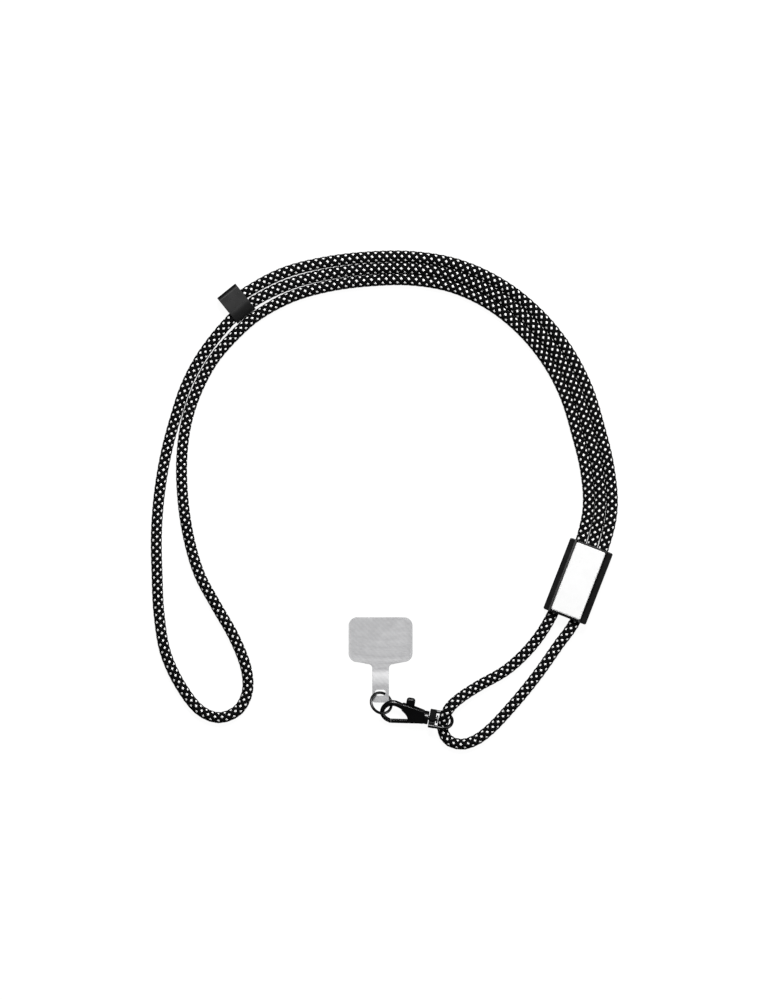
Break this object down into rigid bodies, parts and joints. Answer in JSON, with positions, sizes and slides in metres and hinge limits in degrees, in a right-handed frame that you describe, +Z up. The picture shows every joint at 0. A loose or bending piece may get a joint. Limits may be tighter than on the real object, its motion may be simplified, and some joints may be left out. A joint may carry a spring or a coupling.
{
  "type": "phone lanyard",
  "caption": "Worn rope phone lanyard lying flat: neck loop through a folded clip and an adjuster, trigger hook on a swivel eye, ring and phone case tether tab.",
  "frame": {"origin": "on the surface that the lanyard lies on, under the middle of the hardware's bounding box", "axes": "+Z up from the surface, +X towards the adjuster, +Y away from the hook and towards the folded clip, as the picture shows it from above"},
  "size_m": [0.2189, 0.234, 0.0093],
  "materials": {
    "rope": "black and white round braid",
    "clip_metal": "satin black",
    "slider_plastic": "semi-gloss black",
    "plate_plastic": "smooth white",
    "hook_metal": "semi-gloss black",
    "tab_plastic": "milky translucent"
  },
  "bodies": {
    "lanyard": {"rope": "rope", "rope_clip": "clip_metal", "slider_frame": "slider_plastic", "slider_plate": "plate_plastic", "swivel_eye": "hook_metal"},
    "hook": {"hook_body": "hook_metal", "ring": "hook_metal", "tether_tab": "tab_plastic"},
    "gate": {"hook_gate": "hook_metal"}
  },
  "joints": [
    {"name": "hook_swivel", "type": "hinge", "parent": "lanyard", "child": "hook", "pos_m": [0.0062, -0.0992, 0.00375], "axis": [0.9848, -0.1736, 0], "continuous": true},
    {"name": "gate_hinge", "type": "hinge", "parent": "hook", "child": "gate", "pos_m": [-0.00046, -0.09957, 0.00334], "axis": [0.0449, 0.2549, -0.9659], "range_deg": [0, 22], "stiffness_Nm_per_rad": 0.04, "springref_deg": -17.19}
  ]
}
